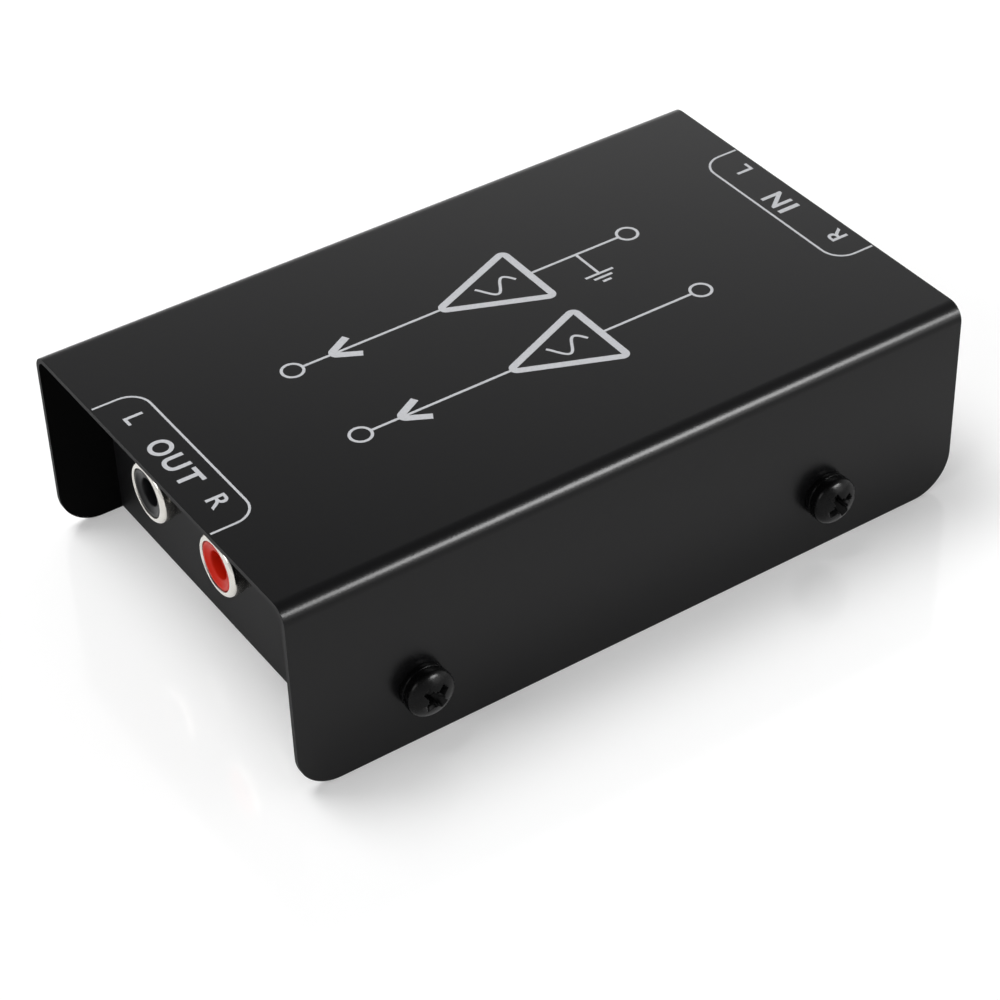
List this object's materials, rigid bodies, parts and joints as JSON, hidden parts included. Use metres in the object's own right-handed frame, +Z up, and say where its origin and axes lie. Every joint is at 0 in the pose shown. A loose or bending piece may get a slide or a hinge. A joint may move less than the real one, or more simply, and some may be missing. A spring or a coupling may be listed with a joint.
{
  "type": "phono preamp",
  "caption": "Small sheet-steel phono preamp: folded black cover over a recessed tray, phono sockets at both ends, ground post, power socket and circuit board inside.",
  "frame": {"origin": "centre of the underside, on the surface that the case rests on", "axes": "+X along the case towards the input end, +Y to the back flange on the left-channel side, +Z up"},
  "size_m": [0.106, 0.0722, 0.0304],
  "materials": {
    "powder_coat_cover": "satin",
    "powder_coat_tray": "satin",
    "black_oxide_steel": "gloss",
    "nickel_plate": "polished",
    "gloss_black_insert": "gloss",
    "gloss_red_insert": "gloss",
    "moulded_black": "matte",
    "contact_bronze": "satin",
    "tinned_copper": "satin",
    "zinc_steel": "satin",
    "board_laminate": "satin",
    "chip_epoxy": "matte",
    "blue_can_sleeve": "gloss",
    "black_can_sleeve": "gloss",
    "red_film_box": "gloss",
    "resistor_lacquer": "gloss",
    "green_wire_sleeve": "satin"
  },
  "bodies": {
    "case": {"top_cover": "powder_coat_cover", "base_tray": "powder_coat_tray", "cover_screws": "black_oxide_steel", "circuit_board": "board_laminate", "board_standoffs": "zinc_steel", "board_screws": "zinc_steel", "output_socket_block": "moulded_black", "output_shells": "nickel_plate", "output_insulator_left": "gloss_black_insert", "output_insulator_right": "gloss_red_insert", "output_centre_contacts": "contact_bronze", "output_ground_tabs": "tinned_copper", "input_socket_block": "moulded_black", "input_shells": "nickel_plate", "input_insulator_left": "gloss_black_insert", "input_insulator_right": "gloss_red_insert", "input_centre_contacts": "contact_bronze", "input_ground_tabs": "tinned_copper", "ground_post": "nickel_plate", "ground_lug": "tinned_copper", "ground_wire": "green_wire_sleeve", "tooth_washer": "zinc_steel", "lock_nut": "nickel_plate", "power_socket_body": "moulded_black", "power_socket_pin": "nickel_plate", "power_socket_contact": "contact_bronze", "amplifier_chip": "chip_epoxy", "chip_socket": "moulded_black", "chip_pins": "tinned_copper", "voltage_regulator": "chip_epoxy", "supply_capacitors": "blue_can_sleeve", "coupling_capacitors": "black_can_sleeve", "film_capacitors": "red_film_box", "resistor_bodies": "resistor_lacquer", "polarity_diode": "chip_epoxy", "component_leads": "tinned_copper"},
    "clamp_washer": {"clamp_washer": "nickel_plate"},
    "thumb_nut": {"thumb_nut": "nickel_plate"}
  },
  "joints": [
    {"name": "thumb_nut_travel", "type": "slide", "parent": "case", "child": "clamp_washer", "axis": [1, 0, 0], "range_m": [0, 0.0028]},
    {"name": "thumb_nut_spin", "type": "hinge", "parent": "clamp_washer", "child": "thumb_nut", "pos_m": [0.0475, 0.0218, 0.0187], "axis": [1, 0, 0], "range_deg": [0, 1440]}
  ],
  "couplings": [
    {"joint": "thumb_nut_spin", "follows": "thumb_nut_travel", "rad_per_m": 8975.9}
  ]
}
